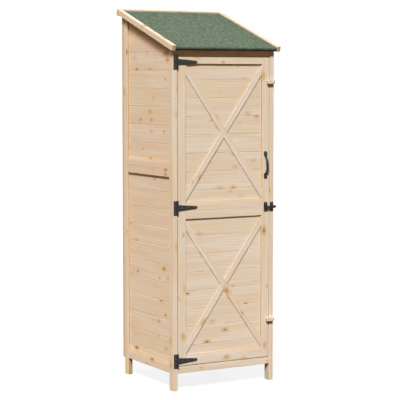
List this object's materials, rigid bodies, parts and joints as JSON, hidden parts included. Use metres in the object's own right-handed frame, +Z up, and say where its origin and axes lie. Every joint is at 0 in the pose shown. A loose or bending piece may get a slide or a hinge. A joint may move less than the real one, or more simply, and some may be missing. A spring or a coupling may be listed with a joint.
{
  "type": "garden shed",
  "caption": "Tall narrow wooden garden cabinet on legs, with boarded walls, a cross-braced hinged door, a slide bolt, turn buttons and a felted lean-to roof.",
  "frame": {"origin": "on the ground, under the middle of the roof's plan", "axes": "+Z up, -Y out of the door, +X to the right of someone facing the door"},
  "size_m": [0.59, 0.5634, 1.7963],
  "materials": {
    "pine": "planed, bare",
    "roofing_felt": "matt mineral grit on bitumen felt",
    "black_hardware": "black powder coat",
    "zinc_steel": "bright zinc plate"
  },
  "bodies": {
    "cabinet": {"back_boards": "pine", "back_bottom_rail": "pine", "back_top_rail": "pine", "bolt_guide": "black_hardware", "door_stop": "pine", "floor_boards": "pine", "frame_dowels": "pine", "front_floor_bearer": "pine", "front_left_post": "pine", "front_right_post": "pine", "front_sill": "pine", "header_rail": "pine", "hinge_pins": "black_hardware", "left_bottom_rail": "pine", "left_lower_boards": "pine", "left_lower_mid_rail": "pine", "left_top_rail": "pine", "left_upper_boards": "pine", "left_upper_mid_rail": "pine", "left_verge": "pine", "lower_hinge_plate": "black_hardware", "lower_shelf": "pine", "middle_hinge_plate": "black_hardware", "post_screws": "black_hardware", "rear_batten": "pine", "rear_left_post": "pine", "rear_right_post": "pine", "right_bottom_rail": "pine", "right_lower_boards": "pine", "right_lower_mid_rail": "pine", "right_top_rail": "pine", "right_upper_boards": "pine", "right_upper_mid_rail": "pine", "right_verge": "pine", "roof_deck": "pine", "roof_felt": "roofing_felt", "shelf_cleats": "pine", "turn_button_screws": "zinc_steel", "upper_hinge_plate": "black_hardware", "upper_shelf": "pine"},
    "door": {"door_hinge_stile": "pine", "door_latch_stile": "pine", "door_top_rail": "pine", "door_upper_mid_rail": "pine", "door_lower_mid_rail": "pine", "door_bottom_rail": "pine", "door_boards": "pine", "upper_falling_brace": "pine", "upper_rising_brace": "pine", "lower_falling_brace": "pine", "lower_rising_brace": "pine", "upper_hinge_strap": "black_hardware", "middle_hinge_strap": "black_hardware", "lower_hinge_strap": "black_hardware", "pull_handle": "black_hardware", "bolt_keeper": "black_hardware", "door_screws": "black_hardware"},
    "bolt": {"bolt_rod": "black_hardware"},
    "upper_button": {"upper_turn_button": "pine"},
    "lower_button": {"lower_turn_button": "pine"}
  },
  "joints": [
    {"name": "door_hinge", "type": "hinge", "parent": "cabinet", "child": "door", "pos_m": [-0.2515, -0.2557, 0.845], "axis": [0, 0, -1], "range_deg": [0, 170]},
    {"name": "bolt_slide", "type": "slide", "parent": "cabinet", "child": "bolt", "axis": [1, 0, 0], "range_m": [0, 0.026]},
    {"name": "upper_button_turn", "type": "hinge", "parent": "cabinet", "child": "upper_button", "pos_m": [0.264, -0.2605, 1.441], "axis": [0, -1, 0], "range_deg": [-90, 90]},
    {"name": "lower_button_turn", "type": "hinge", "parent": "cabinet", "child": "lower_button", "pos_m": [0.264, -0.2605, 0.3], "axis": [0, -1, 0], "range_deg": [-90, 90]}
  ]
}
